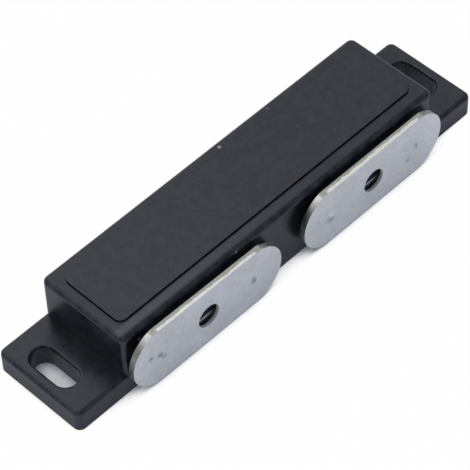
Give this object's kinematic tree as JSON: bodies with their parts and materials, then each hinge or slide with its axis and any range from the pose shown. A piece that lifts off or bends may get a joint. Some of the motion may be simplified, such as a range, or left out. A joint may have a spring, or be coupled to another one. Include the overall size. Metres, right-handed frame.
{
  "type": "double magnetic touch latch",
  "caption": "Low moulded push-to-open latch with a slotted flange at each end, sprung magnetic plungers in its front face and loose oblong strike plates resting on the magnets.",
  "frame": {"origin": "middle of the mounting face, on the underside of the housing", "axes": "+X along the length, -Y out of the front that the plungers come from, +Z away from the mounting face"},
  "size_m": [0.088, 0.02, 0.0131],
  "materials": {
    "housing_plastic": "black moulded plastic, satin",
    "plunger_plastic": "dark moulded plastic, satin",
    "ferrite": "sintered, matte",
    "pole_steel": "plated, cut edges",
    "spring_steel": "drawn wire",
    "zinc_plate": "zinc plated, satin"
  },
  "bodies": {
    "housing": {"housing": "housing_plastic", "cover": "housing_plastic", "left_spring": "spring_steel", "right_spring": "spring_steel"},
    "left_plunger": {"left_plunger": "plunger_plastic", "left_magnet": "ferrite", "left_upper_pole": "pole_steel", "left_lower_pole": "pole_steel", "left_strike_plate": "zinc_plate"},
    "left_cam_follower": {"left_cam_follower": "spring_steel"},
    "right_plunger": {"right_plunger": "plunger_plastic", "right_magnet": "ferrite", "right_upper_pole": "pole_steel", "right_lower_pole": "pole_steel", "right_strike_plate": "zinc_plate"},
    "right_cam_follower": {"right_cam_follower": "spring_steel"}
  },
  "joints": [
    {"name": "left_plunger_slide", "type": "slide", "parent": "housing", "child": "left_plunger", "axis": [0, -1, 0], "range_m": [-0.0007, 0.0055], "deforming": ["left_spring"]},
    {"name": "right_plunger_slide", "type": "slide", "parent": "housing", "child": "right_plunger", "axis": [0, -1, 0], "range_m": [-0.0007, 0.0055], "deforming": ["right_spring"]},
    {"name": "left_follower_swing", "type": "hinge", "parent": "housing", "child": "left_cam_follower", "pos_m": [-0.02, 0.0044, 0.0118], "axis": [0, 0, 1], "range_deg": [-1.7, 12.7]},
    {"name": "right_follower_swing", "type": "hinge", "parent": "housing", "child": "right_cam_follower", "pos_m": [0.02, 0.0044, 0.0118], "axis": [0, 0, -1], "range_deg": [-1.7, 12.7]}
  ],
  "couplings": [
    {"joint": "left_follower_swing", "follows": "left_plunger_slide", "rad_per_m": 40.1},
    {"joint": "right_follower_swing", "follows": "right_plunger_slide", "rad_per_m": 40.1}
  ]
}
